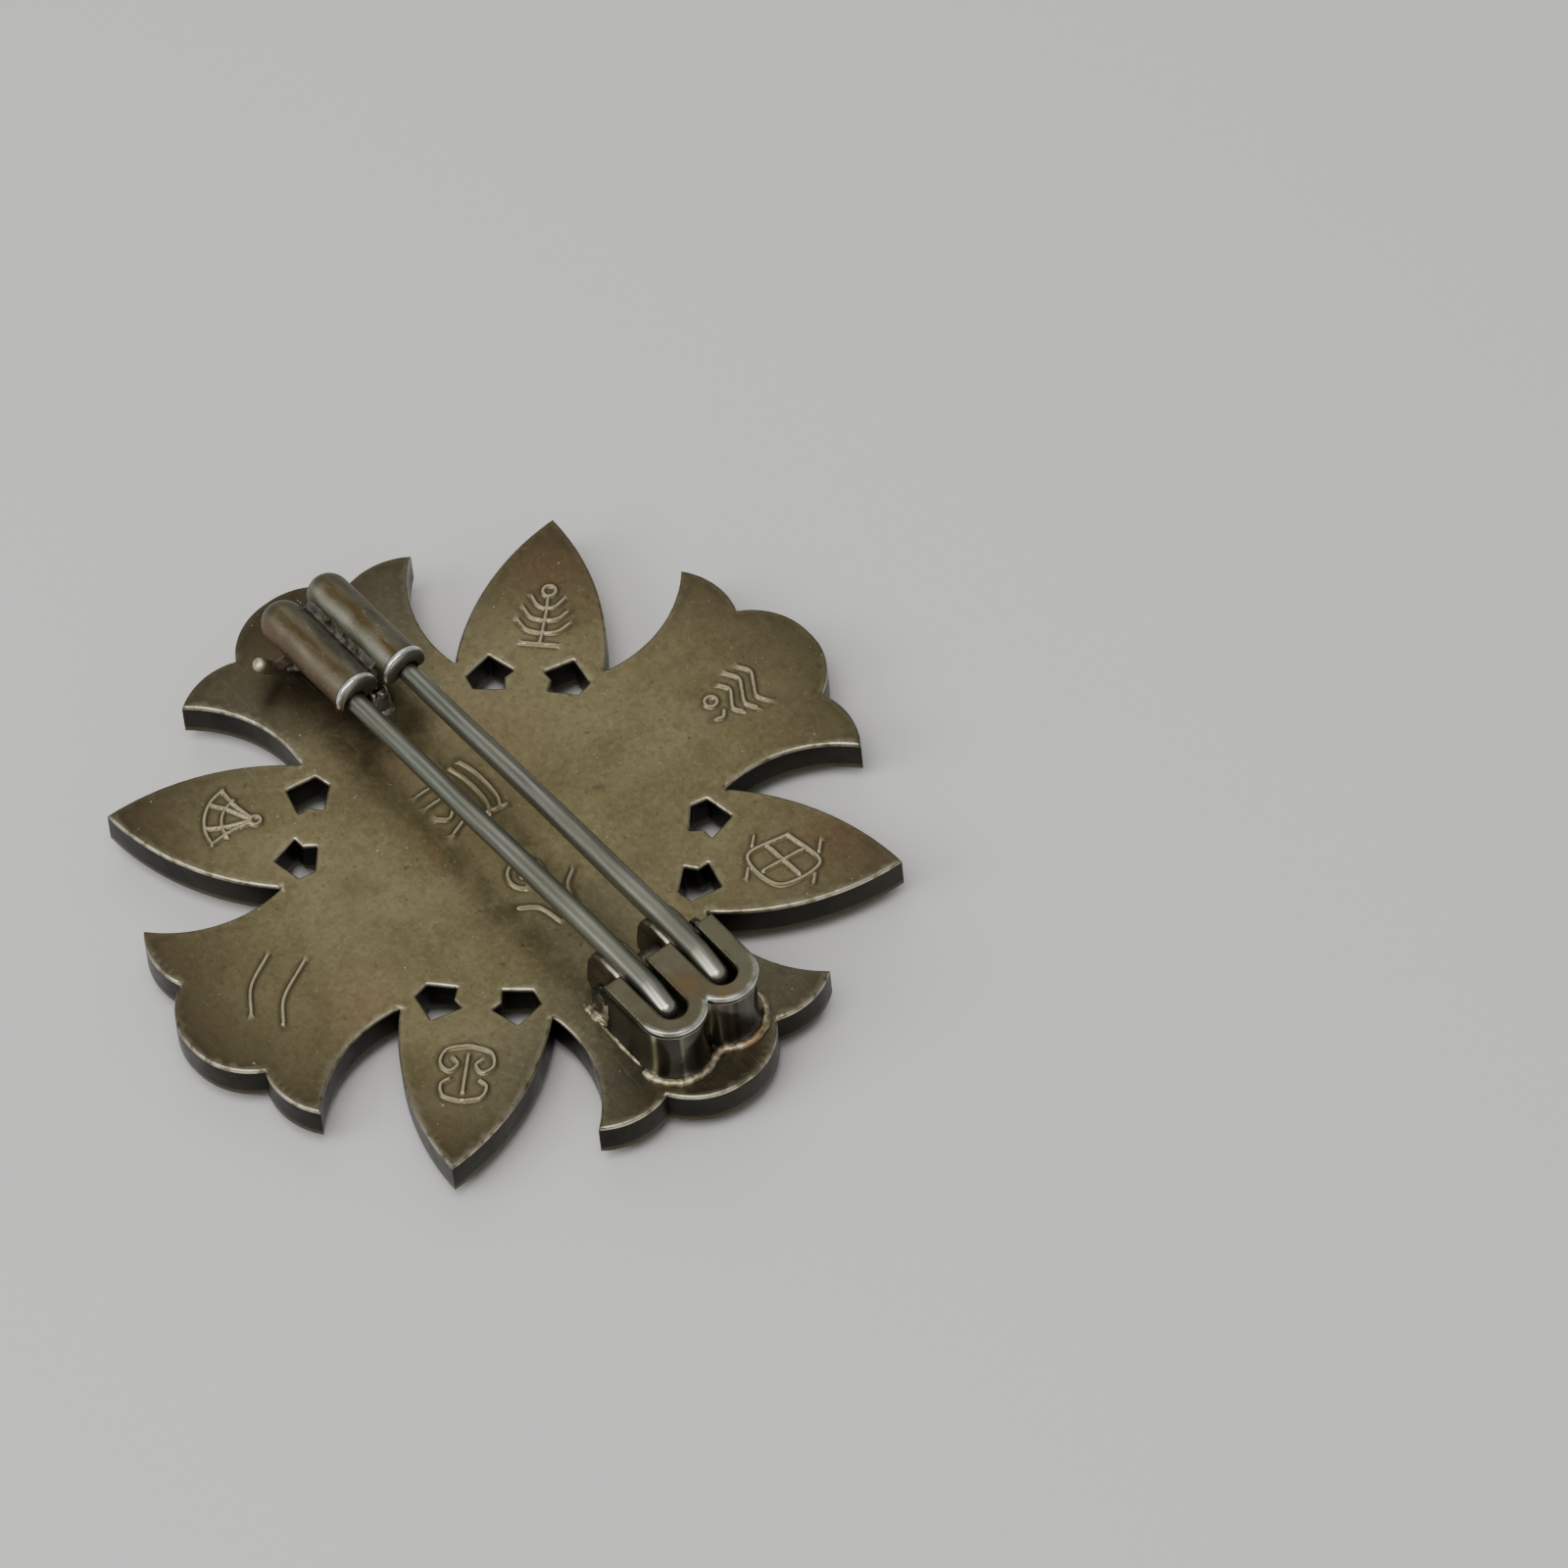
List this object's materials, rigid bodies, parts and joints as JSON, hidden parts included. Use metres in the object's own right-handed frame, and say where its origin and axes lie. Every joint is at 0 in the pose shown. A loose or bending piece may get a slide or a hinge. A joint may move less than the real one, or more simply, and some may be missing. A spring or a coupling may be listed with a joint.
{
  "type": "double-pronged breast badge",
  "caption": "Eight-armed silver breast badge seen from its back, with a two-pronged hinged pin whose points sit in a double sheath.",
  "frame": {"origin": "under the star's centre, on the surface that the badge rests on, face down", "axes": "+Z is out of the back, +X runs along the pin from the points to the hinge, +Y is to the left of that"},
  "size_m": [0.044, 0.044, 0.0078],
  "materials": {
    "aged_silver": "struck silver, aged olive-brown, worn bright on its edges",
    "grey_silver": "cooler grey sheet silver, half bright",
    "browned_silver": "drawn tube, glossy, browned in streaks",
    "pin_wire": "smooth cool-grey hard wire",
    "solder": "run solder, rough and bright"
  },
  "bodies": {
    "badge": {"star_body": "aged_silver", "hinge_wall": "grey_silver", "hinge_lid": "aged_silver", "hinge_axle": "pin_wire", "catch_strap": "grey_silver", "catch_rod": "aged_silver"},
    "pin": {"knuckle_left": "grey_silver", "knuckle_right": "grey_silver", "hinge_spacer": "pin_wire", "prong_left": "pin_wire", "prong_right": "pin_wire"},
    "sheath": {"sheath_tube_left": "browned_silver", "sheath_tube_right": "browned_silver", "sheath_web": "solder"}
  },
  "joints": [
    {"name": "pin_hinge", "type": "hinge", "parent": "badge", "child": "pin", "pos_m": [0.0136, 0.00012, 0.00525], "axis": [0, 1, 0], "range_deg": [0, 40]},
    {"name": "sheath_slide", "type": "slide", "parent": "pin", "child": "sheath", "axis": [-0.9992, 0, -0.041], "range_m": [0, 0.008]}
  ]
}
